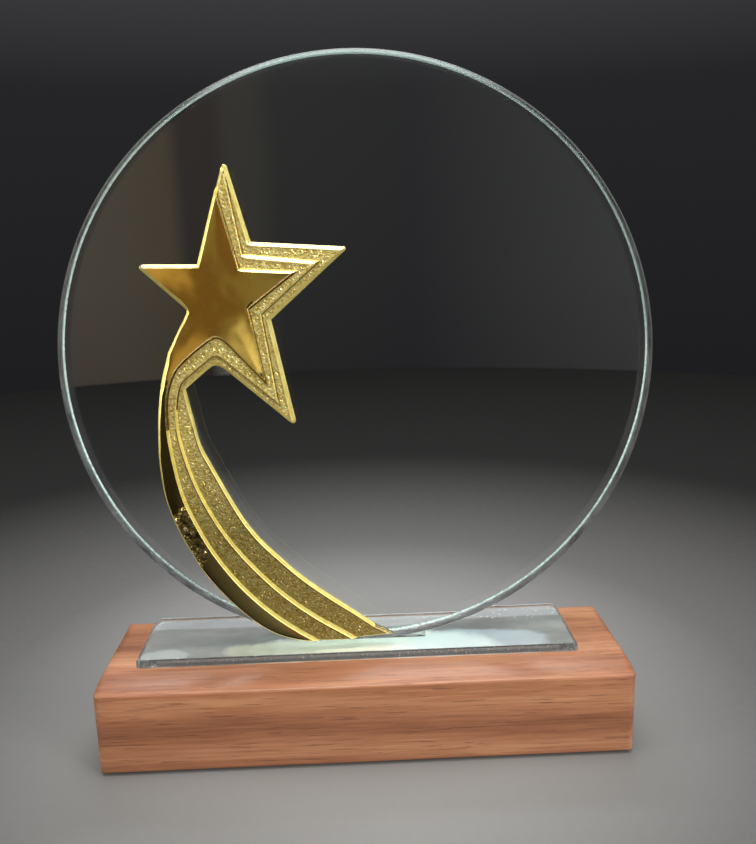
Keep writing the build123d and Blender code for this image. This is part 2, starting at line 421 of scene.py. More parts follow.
def glass(name, tint, rough=0.0, ior=1.52, volume=None, ground=None, milk=0.0, streaks=None, crown=0.0, shade=(0.965, 0.980, 0.976)):
    """Clear glass; lamps pass through it, so it throws no black shadow.
    ground = (low, high, scale) roughness of a ground surface; milk = how much it scatters white; streaks = (low, high) of that along a rim; crown = how much rougher it is at the top; shade = what a shadow ray keeps at each face."""
    m, nt, s, out = new_material(name)
    s.inputs["Base Color"].default_value = tint + (1.0,)
    s.inputs["Transmission Weight"].default_value = 1.0 - milk
    s.inputs["IOR"].default_value = ior
    s.inputs["Roughness"].default_value = rough
    if ground:
        g = noise_tex(nt, coords(nt), ground[2], 4.0, 0.65)
        r = mapped(nt, g, ground[0], ground[1], 0.3, 0.7)
        if crown:
            sep = node(nt, "ShaderNodeSeparateXYZ")
            nt.links.new(coords(nt), sep.inputs[0])
            r = math_node(nt, "ADD", r, mapped(nt, sep.outputs["Z"], 0.0, crown, 0.2170, 0.2300))
        nt.links.new(r, s.inputs["Roughness"])
        bump(nt, s, g, 0.25, 0.0001)
    else:
        g = noise_tex(nt, coords(nt), 14.0, 2.0, 0.5)
        bump(nt, s, g, 0.012, 0.002)
    if streaks:
        t = noise_tex(nt, coords(nt), 120.0, 3.0, 0.6)
        weight = mapped(nt, t, 1.0 - streaks[0], 1.0 - streaks[1], 0.35, 0.65)
        nt.links.new(weight, s.inputs["Transmission Weight"])
    lp = node(nt, "ShaderNodeLightPath")
    tr = node(nt, "ShaderNodeBsdfTransparent")
    tr.inputs["Color"].default_value = shade + (1.0,)
    mx = node(nt, "ShaderNodeMixShader")
    nt.links.new(lp.outputs["Is Shadow Ray"], mx.inputs[0])
    nt.links.new(s.outputs[0], mx.inputs[1])
    nt.links.new(tr.outputs[0], mx.inputs[2])
    nt.links.new(mx.outputs[0], out.inputs["Surface"])
    if volume:
        va = node(nt, "ShaderNodeVolumeAbsorption")
        va.inputs["Color"].default_value = volume[0] + (1.0,)
        va.inputs["Density"].default_value = volume[1]
        nt.links.new(va.outputs[0], out.inputs["Volume"])
    return m


def around(nt, centre, radii, ragged=0.0, scale=300.0):
    """1 near a place, 0 away from it, with a ragged border."""
    sep = node(nt, "ShaderNodeSeparateXYZ")
    nt.links.new(coords(nt), sep.inputs[0])
    total = None
    for axis, c, r in zip("XYZ", centre, radii):
        if r is None:
            continue
        d = math_node(nt, "DIVIDE", math_node(nt, "SUBTRACT", sep.outputs[axis], c), r)
        q = math_node(nt, "MULTIPLY", d, d)
        total = q if total is None else math_node(nt, "ADD", total, q)
    if ragged:
        n = noise_tex(nt, coords(nt), scale, 4.0, 0.6)
        total = math_node(nt, "ADD", total, math_node(nt, "MULTIPLY", math_node(nt, "SUBTRACT", n, 0.5), ragged))
    return mapped(nt, total, 1.0, 0.0, 0.75, 1.15)


def film_material():
    """Silver adhesive film seen through the plate: slightly wrinkled, with trapped air and a patch of old glue."""
    m, nt, s, _ = new_material("silver_film")
    wr = noise_tex(nt, coords(nt, (1, 1.6, 1)), 90.0, 6.0, 0.6, 0.6)
    cloud = noise_tex(nt, coords(nt, (1, 2.5, 1)), 30.0, 4.0, 0.55)
    col = ramp(nt, cloud, [(0.3, (0.150, 0.148, 0.142)), (0.5, (0.215, 0.212, 0.204)), (0.7, (0.32, 0.316, 0.305))])
    # brighter where the light gathers under the disc, in broad crossing rays
    glow = around(nt, (0.003, -0.0055, 0.0), (0.044, 0.0115, None), 1.6, 60.0)
    col = mix_color(nt, math_node(nt, "MULTIPLY", glow, 0.85), col, (0.74, 0.755, 0.70))
    # painted light: a warm and a cool tint painted beside the disc's foot, as coloured caustics
    painted_warm_caustic = around(nt, (-0.022, -0.0060, 0.0), (0.030, 0.0080, None), 2.0, 45.0)
    col = mix_color(nt, math_node(nt, "MULTIPLY", painted_warm_caustic, 0.45), col, (0.72, 0.70, 0.50))
    painted_cool_caustic = around(nt, (0.040, -0.0040, 0.0), (0.026, 0.0090, None), 2.0, 45.0)
    col = mix_color(nt, math_node(nt, "MULTIPLY", painted_cool_caustic, 0.45), col, (0.56, 0.64, 0.70))
    rear = around(nt, (0.0, 0.0195, 0.0), (0.30, 0.0052, None), 0.8, 140.0)
    col = mix_color(nt, math_node(nt, "MULTIPLY", rear, 0.50), col, (0.46, 0.475, 0.50))
    patch = around(nt, (-0.0725, -0.0062, 0.0), (0.0085, 0.0050, None), 1.6, 260.0)
    col = mix_color(nt, math_node(nt, "MULTIPLY", patch, 0.65), col, (0.44, 0.45, 0.45))
    sp = node(nt, "ShaderNodeTexVoronoi", feature="F1")
    sp.inputs["Scale"].default_value = 420.0
    nt.links.new(coords(nt), sp.inputs["Vector"])
    dots = mapped(nt, sp.outputs["Distance"], 0.6, 0.0, 0.10, 0.24)
    where = around(nt, (0.060, 0.0165, 0.0), (0.018, 0.0050, None), 1.2, 120.0)
    col = mix_color(nt, math_node(nt, "MULTIPLY", dots, where), col, (0.95, 0.96, 0.96))
    nt.links.new(col, s.inputs["Base Color"])
    s.inputs["Metallic"].default_value = 0.45
    nt.links.new(mapped(nt, wr, 0.34, 0.55, 0.3, 0.7), s.inputs["Roughness"])
    bump(nt, s, wr, 0.30, 0.0006)
    return m


def tape_material():
    m, nt, s, _ = new_material("acrylic_tape")
    n = noise_tex(nt, coords(nt), 160.0, 5.0, 0.6)
    col = ramp(nt, n, [(0.3, (0.62, 0.60, 0.55)), (0.7, (0.80, 0.79, 0.75))])
    nt.links.new(col, s.inputs["Base Color"])
    nt.links.new(mapped(nt, n, 0.35, 0.6, 0.3, 0.7), s.inputs["Roughness"])
    bump(nt, s, n, 0.3, 0.0003)
    return m


def rubber_material():
    m, nt, s, _ = new_material("pad_rubber")
    n = noise_tex(nt, coords(nt), 700.0, 5.0, 0.6)
    col = ramp(nt, n, [(0.3, (0.018, 0.018, 0.019)), (0.7, (0.045, 0.045, 0.046))])
    nt.links.new(col, s.inputs["Base Color"])
    nt.links.new(mapped(nt, n, 0.65, 0.9, 0.3, 0.7), s.inputs["Roughness"])
    bump(nt, s, n, 0.4, 0.0003)
    return m


M_WOOD = wood_material()
M_GOLD = gold_polished()
M_STIP = gold_stipple()
M_EDGE = gold_edge()
# painted shade for the feet of downward walls and the tail's margins
M_PAINTED_SHADE = gold_painted_shade()
M_RIDGE = gold_ridge()
M_BACK = gold_back()
VOL = ((0.72, 0.93, 0.91), 1.6)
VOL_PLATE = ((0.95, 0.985, 0.98), 1.0)
M_DISC = glass("disc_glass", (0.985, 1.0, 0.995), 0.0, volume=VOL)
M_ARRIS = glass("disc_front_bevel", (0.90, 0.94, 0.94), 0.2, volume=VOL, ground=(0.10, 0.24, 900.0), milk=0.13, crown=0.35)
M_SIDE = glass("disc_side_ground", (0.93, 0.99, 0.98), 0.2, volume=VOL, ground=(0.09, 0.19, 1200.0), milk=0.03, streaks=(0.0, 0.10), crown=0.62)
M_ARRIS_BACK = glass("disc_back_bevel", (0.70, 0.95, 0.90), 0.3, volume=VOL, ground=(0.20, 0.38, 900.0), milk=0.38, crown=0.30)
M_PLATE = glass("plate_glass", (0.995, 1.0, 0.998), 0.0, volume=VOL_PLATE, shade=(0.985, 0.992, 0.990))
M_PLATE_EDGE = glass("plate_glass_cut", (0.50, 0.54, 0.55), 0.2, volume=VOL_PLATE, ground=(0.10, 0.30, 1300.0), milk=0.10)
M_BEAD = glass("clear_glue", (0.99, 0.99, 0.98), 0.02, ior=1.47, shade=(0.985, 0.985, 0.98))
M_FILM = film_material()
M_TAPE = tape_material()
M_RUBBER = rubber_material()

# --------------------------------------------------------------------------- places from the CAD
b_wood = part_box("wood_base")
b_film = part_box("plate_backing_film")
b_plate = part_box("glass_foot_plate")
b_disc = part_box("glass_disc")
b_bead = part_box("disc_bond_bead")
b_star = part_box("star_ornament")
b_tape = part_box("star_tape_pad")
DISC_Z = b_plate[1][2] + 0.3 * MM + 100.0 * MM
DISC_FRONT, DISC_BACK = b_disc[0][1], b_disc[1][1]


def keep(obj, *nodes, slot=None):
    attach(obj, "root")
    if nodes:
        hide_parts(*nodes)
    return obj


# --------------------------------------------------------------------------- hardwood block
def build_wood():
    x0, y0, z0 = b_wood[0]
    x1, y1, z1 = b_wood[1]
    n = 72
    xs = [x0 + (x1 - x0) * i / n for i in range(n + 1)]
    verts, faces = [], []
    for x in xs:
        # the bevel was planed by hand, so its upper line wanders a little
        w = noise.noise(Vector((x * 38, 0.3, 0.0))) * 0.55 + noise.noise(Vector((x * 120, 4.3, 0.0))) * 0.22
        run = (9.4 + w) * MM
        drop = (1.5 + 0.12 * noise.noise(Vector((x * 60, 9.1, 2.0)))) * MM
        verts += [(x, y0, z0), (x, y1, z0), (x, y1, z1), (x, y0 + run, z1), (x, y0, z1 - drop)]
    k = 5
    for i in range(n):
        for j in range(k):
            a, b = i * k + j, i * k + (j + 1) % k
            faces.append((a, b, b + k, a + k))
    faces.append(tuple(range(k))[::-1])
    faces.append(tuple(n * k + j for j in range(k)))
    ob = mesh_object("wood_block", verts, faces, [M_WOOD], smooth=True)
    me = ob.data
    bm = bmesh.new()
    bm.from_mesh(me)
    bmesh.ops.recalc_face_normals(bm, faces=bm.faces)
    w = bm.edges.layers.float.get("bevel_weight_edge") or bm.edges.layers.float.new("bevel_weight_edge")
    for e in bm.edges:
        if len(e.link_faces) != 2:
            continue
        ang = e.calc_face_angle(0.0)
        d = (e.verts[1].co - e.verts[0].co).normalized()
        if ang > math.radians(30):
            e[w] = 1.0 if abs(d.z) > 0.95 else 0.42
    bm.to_mesh(me)
    bm.free()
    bv = ob.modifiers.new("ease", "BEVEL")
    bv.limit_method = "WEIGHT"
    bv.width = 2.2 * MM
    bv.segments = 4
    bv.harden_normals = False
    dg = bpy.context.evaluated_depsgraph_get()
    done = bpy.data.meshes.new_from_object(ob.evaluated_get(dg))
    ob.modifiers.clear()
    ob.data = done
    done.polygons.foreach_set("use_smooth", np.full(len(done.polygons), True))
    sharpen(ob, 38)
    return keep(ob, "wood_base", slot="wood")


build_wood()


# --------------------------------------------------------------------------- foot plate and film
def plate_loop(b, clip, rnd, wob=0.0, seed=0):
    """Outline seen from above: clipped back left corner, rounded back right corner, slightly uneven cut."""
    x0, y0 = b[0][0], b[0][1]
    x1, y1 = b[1][0], b[1][1]
    pts = [(x0, y0), (x1, y0)]
    cx, cy = x1 - rnd, y1 - rnd
    arc = [(cx + rnd * math.cos(a), cy + rnd * math.sin(a)) for a in np.linspace(0, math.pi / 2, 9)]
    pts += arc
    pts += [(x0 + clip * 0.35, y1), (x0, y1 - clip)]
    out = []
    for i, a in enumerate(pts):
        c = pts[(i + 1) % len(pts)]
        L = math.dist(a, c)
        steps = max(1, int(L / 0.0022))
        for k in range(steps):
            t = k / steps
            out.append((a[0] + (c[0] - a[0]) * t, a[1] + (c[1] - a[1]) * t))
    if wob:
        c = np.array([(x0 + x1) / 2, (y0 + y1) / 2])
        res = []
        for p in out:
            v = noise.noise(Vector((p[0] * 230 + seed, p[1] * 230, 1.7))) * 0.5 + 0.5
            chip = max(0.0, noise.noise(Vector((p[0] * 900 + seed, p[1] * 900, 8.0))) - 0.42) * 2.0
            q = np.array(p)
            inward = (c - q) / np.array([(x1 - x0) / 2, (y1 - y0) / 2])
            inward = np.where(np.abs(inward) > 0.96, np.sign(inward), 0.0)
            res.append(tuple(q + inward * wob * (0.35 * v + chip)))
        out = res
    return out


def slab(name, loop, levels, mats, side_mat=0, smooth=False):
    """levels = [(inset, z)] from the bottom up; the caps close it."""
    verts, faces, fm = [], [], []
    rings = []
    base = np.asarray(loop)
    for inset, z in levels:
        r = offset_loop(base, inset) if inset else base
        rings.append(len(verts))
        verts += [(p[0], p[1], z) for p in r]
    n = len(base)
    for k in range(len(levels) - 1):
        a, b = rings[k], rings[k + 1]
        for i in range(n):
            j = (i + 1) % n
            faces.append((a + i, a + j, b + j, b + i))
            fm.append(side_mat)
    faces.append(tuple(rings[0] + i for i in range(n))[::-1])
    fm.append(0)
    faces.append(tuple(rings[-1] + i for i in range(n)))
    fm.append(0)
    ob = mesh_object(name, verts, faces, mats, fm, smooth)
    bm = bmesh.new()
    bm.from_mesh(ob.data)
    bmesh.ops.recalc_face_normals(bm, faces=bm.faces)
    bm.to_mesh(ob.data)
    bm.free()
    return ob


def build_plate():
    loop = plate_loop(b_plate, 4.6 * MM, 2.6 * MM, wob=0.22 * MM, seed=3)
    z0, z1 = b_plate[0][2], b_plate[1][2]
    lv = [(0.40 * MM, z0), (0.10 * MM, z0 + 0.22 * MM), (0.0, z0 + 0.45 * MM), (0.0, z1 - 0.45 * MM), (0.10 * MM, z1 - 0.20 * MM), (0.38 * MM, z1)]
    ob = slab("foot_plate_glass", loop, lv, [M_PLATE, M_PLATE_EDGE], 1, smooth=True)
    for poly in ob.data.polygons:
        if len(poly.vertices) > 4:
            poly.use_smooth = False
    sharpen(ob, 40, 5)
    return keep(ob, "glass_foot_plate", slot="plate_glass")


build_plate()


def build_film():
    loop = plate_loop(b_film, 4.4 * MM, 2.4 * MM, wob=0.9 * MM, seed=11)
    z0, z1 = b_film[0][2], b_film[1][2] - 0.03 * MM
    # top as a fine sheet so that it can pucker
    pts = list(loop)
    edges = [(i, (i + 1) % len(pts)) for i in range(len(pts))]
    gx = np.arange(b_film[0][0] + 1 * MM, b_film[1][0], 1.6 * MM)
    gy = np.arange(b_film[0][1] + 1 * MM, b_film[1][1], 1.6 * MM)
    grid = np.array([(x, y) for x in gx for y in gy])
    sd = signed(grid * 1000, np.asarray(loop) * 1000)
    grid = grid[sd > 0.8]
    allp = [Vector(p) for p in pts] + [Vector(p) for p in grid]
    vs, _, fs, *_ = delaunay_2d_cdt(allp, edges, [], 1, 1e-7)
    verts = []
    for p in vs:
        q = noise.noise(Vector((p.x * 140, p.y * 210, 0.4))) * 0.5 + noise.noise(Vector((p.x * 420, p.y * 520, 3.4))) * 0.25
        verts.append((p.x, p.y, z1 - 0.07 * MM * (q + 0.75)))
    faces = [tuple(f) for f in fs]
    n = len(verts)
    low = [(v[0], v[1], z0) for v in verts[: len(pts)]]
    verts += low
    faces += [(i, (i + 1) % len(pts), n + (i + 1) % len(pts), n + i) for i in range(len(pts))]
    faces.append(tuple(n + i for i in range(len(pts))))
    ob = mesh_object("silver_backing_film", verts, faces, [M_FILM], smooth=True)
    bm = bmesh.new()
    bm.from_mesh(ob.data)
    bmesh.ops.recalc_face_normals(bm, faces=bm.faces)
    bm.to_mesh(ob.data)
    bm.free()
    sharpen(ob, 50)
    return keep(ob, "plate_backing_film", slot="silver_film")


build_film()


# --------------------------------------------------------------------------- glass disc
def build_disc():
    R, c = 99.965 * MM, 0.48 * MM
    y0, y1 = DISC_FRONT, DISC_BACK
    seg = 480
    # (radius, y, material of the band that follows): face 0, front bevel 1, ground side 2, back bevel 3
    prof = [(R * 0.45, y0, 0), (R * 0.80, y0, 0), (R - c, y0, 1), (R - c * 0.5, y0 + c * 0.47, 1), (R - 0.12 * MM, y0 + c * 0.86, 1),
            (R - 0.03 * MM, y0 + c * 1.1, 2), (R, y0 + c * 1.6, 2), (R, (y0 + y1) / 2, 2), (R, y1 - c * 1.6, 2), (R - 0.03 * MM, y1 - c * 1.1, 3),
            (R - 0.12 * MM, y1 - c * 0.86, 3), (R - c * 0.5, y1 - c * 0.47, 3), (R - c, y1, 0), (R * 0.80, y1, 0), (R * 0.45, y1, 0)]
    verts, faces, fm = [], [], []
    for r, y, _ in prof:
        for k in range(seg):
            a = 2 * math.pi * k / seg
            verts.append((r * math.cos(a), y, DISC_Z + r * math.sin(a)))
    for i in range(len(prof) - 1):
        for k in range(seg):
            k2 = (k + 1) % seg
            faces.append((i * seg + k, i * seg + k2, (i + 1) * seg + k2, (i + 1) * seg + k))
            fm.append(prof[i][2])
    for row, y in ((0, y0), (len(prof) - 1, y1)):
        c_i = len(verts)
        verts.append((0, y, DISC_Z))
        for k in range(seg):
            k2 = (k + 1) % seg
            faces.append((row * seg + k, row * seg + k2, c_i))
            fm.append(0)
    ob = mesh_object("disc_glass_body", verts, faces, [M_DISC, M_ARRIS, M_SIDE, M_ARRIS_BACK], fm, smooth=True)
    bm = bmesh.new()
    bm.from_mesh(ob.data)
    bmesh.ops.recalc_face_normals(bm, faces=bm.faces)
    bm.to_mesh(ob.data)
    bm.free()
    sharpen(ob, 24, 5)
    return keep(ob, "glass_disc", slot="disc_glass")


build_disc()


# --------------------------------------------------------------------------- glue bead
def build_bead():
    """Meniscus of clear glue under the rim, a little wavy, with a few trapped bubbles."""
    zt = b_plate[1][2] + 0.02 * MM
    R = 100.0 * MM
    half = 21.5 * MM
    y0, y1 = b_bead[0][1], b_bead[1][1]
    nx, ny = 90, 10
    top, bot = [], []
    for i in range(nx + 1):
        u = -1 + 2 * i / nx
        x = half * u
        gap = DISC_Z - math.sqrt(R * R - x * x) - zt - 0.03 * MM
        end = max(0.0, 1 - abs(u) ** 4) ** 0.8
        for j in range(ny + 1):
            v = -1 + 2 * j / ny
            wob = 0.5 + 0.5 * noise.noise(Vector((x * 160, v * 2.0, 5.0)))
            h = gap * (0.90 + 0.10 * (1 - v * v)) * end * (0.93 + 0.07 * wob)
            y = (y0 + y1) / 2 + v * (y1 - y0) / 2 * (0.96 - 0.10 * wob)
            top.append((x, y, zt + max(h, 0.015 * MM)))
            bot.append((x, y, zt))
    verts = top + bot
    N = len(top)
    faces = []
    row = ny + 1
    for i in range(nx):
        for j in range(ny):
            a = i * row + j
            faces.append((a, a + 1, a + row + 1, a + row))
            faces.append((N + a, N + a + row, N + a + row + 1, N + a + 1))
    for i in range(nx):
        a, b = i * row, (i + 1) * row
        faces.append((a, b, N + b, N + a))
        a, b = i * row + ny, (i + 1) * row + ny
        faces.append((b, a, N + a, N + b))
    for j in range(ny):
        faces.append((j + 1, j, N + j, N + j + 1))
        a = nx * row + j
        faces.append((a, a + 1, N + a + 1, N + a))
    # trapped bubbles: small hollow balls turned inside out
    bm = bmesh.new()
    me = bpy.data.meshes.new("tmp")
    me.from_pydata(verts, [], faces)
    bm.from_mesh(me)
    bmesh.ops.recalc_face_normals(bm, faces=bm.faces)
    for x, v, r in ((16.4, -0.35, 0.42), (17.6, 0.1, 0.30), (-15.2, 0.2, 0.36), (12.3, 0.35, 0.22), (-17.9, -0.2, 0.28), (18.8, -0.3, 0.34), (14.0, -0.5, 0.2)):
        x *= MM
        gap = DISC_Z - math.sqrt(R * R - x * x) - zt
        z = zt + gap * 0.45
        r = min(r * MM, gap * 0.30)
        geo = bmesh.ops.create_icosphere(bm, subdivisions=2, radius=r, matrix=Matrix.Translation((x, (y0 + y1) / 2 + v * (y1 - y0) / 2, z)))
        fs = list({f for vv in geo["verts"] for f in vv.link_faces})
        bmesh.ops.reverse_faces(bm, faces=fs)
    out = bpy.data.meshes.new("glue_bead_clear")
    bm.to_mesh(out)
    bm.free()
    bpy.data.meshes.remove(me)
    out.materials.append(M_BEAD)
    out.polygons.foreach_set("use_smooth", np.full(len(out.polygons), True))
    ob = link(bpy.data.objects.new("glue_bead_clear", out))
    sharpen(ob, 50)
    return keep(ob, "disc_bond_bead", slot="clear_adhesive")


build_bead()

# --------------------------------------------------------------------------- star casting
# outlines in mm, X and height above the disc's centre; sharp corners are rounded to blunt cast tips further down
TIPS = {(-40.8, 68.1): 0.78, (-2.2, 39.6): 0.72, (-21.4, -20.3): 1.0, (-71.0, 35.7): 1.0}
star_part = [(-28.6, 16.6), (-2.2, 39.6), (-33.9, 41.9), (-40.8, 68.1), (-51.0, 35.2), (-71.0, 35.7), (-55.4, 21.0)]
low_notch = [(-21.4, -20.3), (-43.6, -0.3), (-45.0, 0.9), (-46.4, 1.7), (-47.6, 2.0), (-48.8, 1.7), (-50.9, 0.3), (-58.3, -5.8)]
tail_left = [(-55.3, 20.0), (-56.7, 17.4), (-58.6, 14.0), (-61.0, 9.6), (-62.2, 7.4), (-63.2, 4.4), (-64.3, 1.2), (-65.3, -2.4), (-66.4, -8.4), (-67.3, -15.2), (-67.8, -22.0), (-68.0, -29.0), (-67.6, -36.5), (-66.6, -43.4), (-64.6, -50.6), (-61.8, -57.6), (-59.6, -62.2), (-56.0, -69.2), (-47.3, -80.8), (-38.9, -89.1), (-31.7, -93.9), (-24.0, -96.5), (-16.0, -97.5), (-9.0, -97.8)]
tail_end = [(-3.6, -97.7), (9.4, -96.9)]
tail_right = [(3.0, -93.4), (-5.4, -87.0), (-13.8, -80.8), (-22.2, -74.0), (-29.5, -66.8), (-36.4, -59.3), (-41.2, -52.4), (-45.2, -45.0), (-48.8, -37.6), (-51.8, -31.2), (-53.9, -26.8), (-55.1, -22.8), (-56.2, -16.6), (-57.2, -11.4)]
ridge_1 = [(-9.5, -102.4), (-13.8, -99.4), (-18.7, -96.0), (-23.4, -92.9), (-30.2, -87.8), (-36.9, -81.7), (-43.5, -74.4), (-49.6, -65.9), (-54.0, -58.3), (-57.4, -50.9), (-60.2, -43.6), (-61.9, -36.4), (-63.0, -29.2), (-63.8, -22.2), (-64.0, -15.4), (-63.5, -8.8), (-62.6, -4.8), (-61.4, -1.6), (-60.0, 0.8), (-58.3, 2.8), (-54.6, 6.0), (-50.5, 9.1)]
round_3 = [(-48.3, 10.6), (-47.0, 11.2), (-45.8, 11.2), (-44.4, 10.5), (-43.0, 9.1)]
star_3 = [(-30.4, -4.9), (-35.0, 20.4), (-18.6, 32.5), (-37.3, 33.8), (-43.6, 59.6)]
ridge_2 = [(4.4, -102.6), (-4.1, -97.0), (-9.2, -93.6), (-16.2, -89.1), (-23.0, -84.0), (-29.8, -78.1), (-36.4, -71.2), (-43.0, -63.2), (-48.4, -55.3), (-52.4, -47.9), (-55.6, -40.7), (-58.0, -33.6), (-59.8, -26.6), (-60.9, -20.4), (-61.1, -15.4), (-60.8, -10.6), (-59.8, -6.0), (-58.6, -3.2), (-55.2, -0.4), (-50.0, 3.7)]
round_2 = [(-48.1, 5.0), (-46.6, 5.2), (-45.2, 4.3)]
star_2 = [(-26.8, -12.0), (-31.1, 18.6), (-11.4, 35.4), (-36.1, 38.2), (-40.3, 63.0)]
LEVELS = (2.4, 3.8, 5.2)
PLAIN = [(-46.0, 74.0), (-84.0, 70.0), (-88.0, -30.0), (-74.0, -86.0), (-30.0, -112.0)]


def ccw(l):
    return np.asarray(l if area2(l) > 0 else l[::-1], float)


def star_loops():
    outer = list(star_part) + curve_through(tail_left, 6) + tail_end + curve_through(tail_right, 6)[:-1] + low_notch[::-1]
    # the two upper levels run past the outline on the left, where all levels share one edge
    q2 = curve_through(ridge_2, 6) + round_2 + star_2 + PLAIN
    q3 = curve_through(ridge_1, 6) + round_3 + star_3 + PLAIN
    return round_tips(ccw(outer)), ccw(q2), ccw(q3)


def round_tips(loop):
    out = []
    n = len(loop)
    for i in range(n):
        a, b, c = loop[i - 1], loop[i], loop[(i + 1) % n]
        r = next((v for k, v in TIPS.items() if math.dist(k, b) < 0.05), 0.0)
        if not r:
            out.append(b)
            continue
        u, v = (a - b) / np.linalg.norm(a - b), (c - b) / np.linalg.norm(c - b)
        half = math.acos(max(-1, min(1, float(u @ v)))) / 2
        t = r / math.tan(half)
        s, e = b + u * t, b + v * t
        cen = b + (u + v) / np.linalg.norm(u + v) * (r / math.sin(half))
        a0 = math.atan2(s[1] - cen[1], s[0] - cen[0])
        a1 = math.atan2(e[1] - cen[1], e[0] - cen[0])
        while a1 < a0:
            a1 += 2 * math.pi
        for k in range(9):
            w = a0 + (a1 - a0) * k / 8
            out.append(cen + r * np.array([math.cos(w), math.sin(w)]))
    return np.asarray(out)


def divide(loop, step):
    """Long straight runs get points in between, so that widths can change along them."""
    out = []
    for i in range(len(loop)):
        a, b = loop[i], loop[(i + 1) % len(loop)]
        k = max(1, int(np.linalg.norm(b - a) / step))
        out += [a + (b - a) * t / k for t in range(k)]
    return np.asarray(out)


def outward(loop):
    e = np.roll(loop, -1, axis=0) - loop
    e /= np.linalg.norm(e, axis=1)[:, None]
    n = np.stack([e[:, 1], -e[:, 0]], 1)
    m = n + np.roll(n, 1, axis=0)
    return m / np.maximum(np.linalg.norm(m, axis=1), 1e-6)[:, None]


# width of the sloped outer wall in plan at places on the outline
RIM = [(-41.0, 66, 1.05), (-46.5, 49, 1.05), (-51.0, 36.5, 1.1), (-53.5, 35.2, 1.25), (-67.5, 35.5, 1.3), (-66.0, 31.0, 1.4), (-57.5, 23.0, 1.4), (-55.4, 20.6, 0.85), (-58.6, 14.0, 0.75), (-62.2, 7.4, 0.95),
       (-64.0, 2.0, 1.35), (-65.3, -2.4, 1.4), (-66.5, -8.5, 0.95), (-67.8, -22.0, 0.85), (-68.0, -29.0, 0.65), (-66.6, -43.4, 0.45), (-56.0, -69.2, 0.42), (-31.7, -93.9, 0.42), (-9.0, -97.8, 0.5),
       (9.0, -97.0, 0.6), (-13.8, -80.8, 0.70), (-36.4, -59.0, 0.74), (-50.0, -35.0, 0.66), (-55.5, -20.0, 0.52), (-58.0, -7.5, 0.55), (-50.0, 1.0, 1.0), (-40.0, -3.5, 1.1), (-25.0, -17.0, 1.1), (-22.6, -15.0, 1.3), (-28.0, 12.0, 1.2),
       (-26.0, 18.8, 1.1), (-8.0, 34.0, 1.1), (-6.0, 39.8, 1.15), (-32.0, 41.8, 1.15), (-34.5, 45.0, 1.0), (-39.0, 62.0, 1.05)]


def rim_width(p):
    r = np.asarray(RIM)
    d2 = ((p[:, None, :] - r[None, :, :2]) ** 2).sum(2) + 0.4
    w = 1.0 / d2 ** 1.6
    return (w * r[None, :, 2]).sum(1) / w.sum(1)


def nearest(pts, loop, widths):
    """Signed distance to the loop (inside positive), and the wall width and how far it faces up at the nearest place."""
    p = np.asarray(pts, float)
    best = np.full(len(p), 1e9)
    wid, ups = np.zeros(len(p)), np.zeros(len(p))
    n = len(loop)
    for i in range(n):
        s, t = loop[i], loop[(i + 1) % n]
        d = t - s
        L = float(d @ d)
        if L < 1e-12:
            continue
        u = np.clip(((p - s) @ d) / L, 0, 1)
        q = p - (s + u[:, None] * d)
        dd = (q * q).sum(1)
        m = dd < best
        best[m] = dd[m]
        wid[m] = (widths[i] + (widths[(i + 1) % n] - widths[i]) * u)[m]
        ups[m] = -d[0] / math.sqrt(L)
    dist = np.sqrt(best)
    return np.where(inside_many(p, loop), dist, -dist), wid, ups


F_OUT = (0.0, 0.05, 0.38, 0.72, 1.0)
F_STEP = (0.0, 0.10, 0.52, 0.84, 1.0)
H_STEP = (0.0, 0.17, 0.62, 0.93, 1.0)
MARGIN = 0.30  # smooth lip between a wall and the stippling


